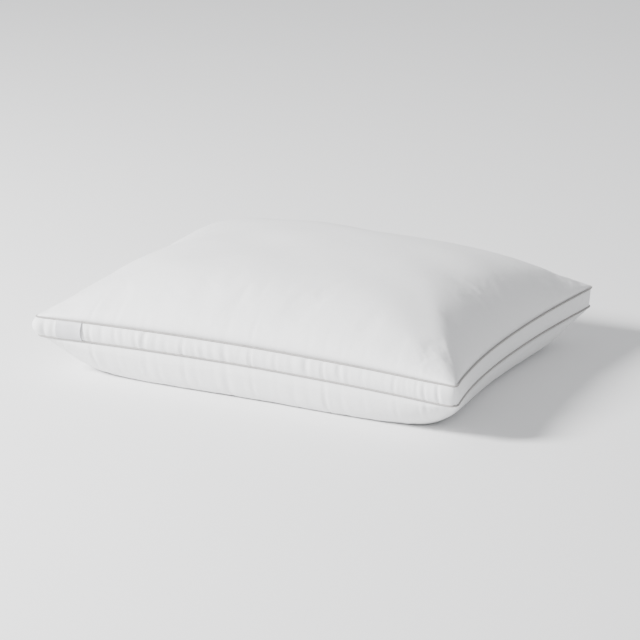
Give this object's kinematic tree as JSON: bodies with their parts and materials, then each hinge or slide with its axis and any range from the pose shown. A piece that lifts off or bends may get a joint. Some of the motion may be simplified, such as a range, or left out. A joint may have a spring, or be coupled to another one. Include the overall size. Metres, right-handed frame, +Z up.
{
  "type": "bed pillow",
  "caption": "White gusseted bed pillow: crowned cloth panels joined by a piped side band, filled with fibre, lying flat",
  "frame": {"origin": "middle of the resting face under the pillow", "axes": "+X along the long side, +Y from the front long side to the back one, +Z up through the crown"},
  "size_m": [0.6384, 0.4852, 0.165],
  "materials": {
    "panel_cotton": "satin",
    "gusset_cotton": "satin",
    "piping_cloth": "satin",
    "filler_cord": "matte",
    "sewing_thread": "satin",
    "label_satin": "satin",
    "fibre_batting": "matte"
  },
  "bodies": {
    "root": {"top_panel": "panel_cotton", "bottom_panel": "panel_cotton", "gusset_band": "gusset_cotton", "top_piping_strip": "piping_cloth", "bottom_piping_strip": "piping_cloth", "top_piping_cord": "filler_cord", "bottom_piping_cord": "filler_cord", "top_seam_thread": "sewing_thread", "bottom_seam_thread": "sewing_thread", "gusset_join_thread": "sewing_thread", "closing_thread": "sewing_thread", "woven_label": "label_satin", "fibre_fill": "fibre_batting"}
  },
  "joints": []
}
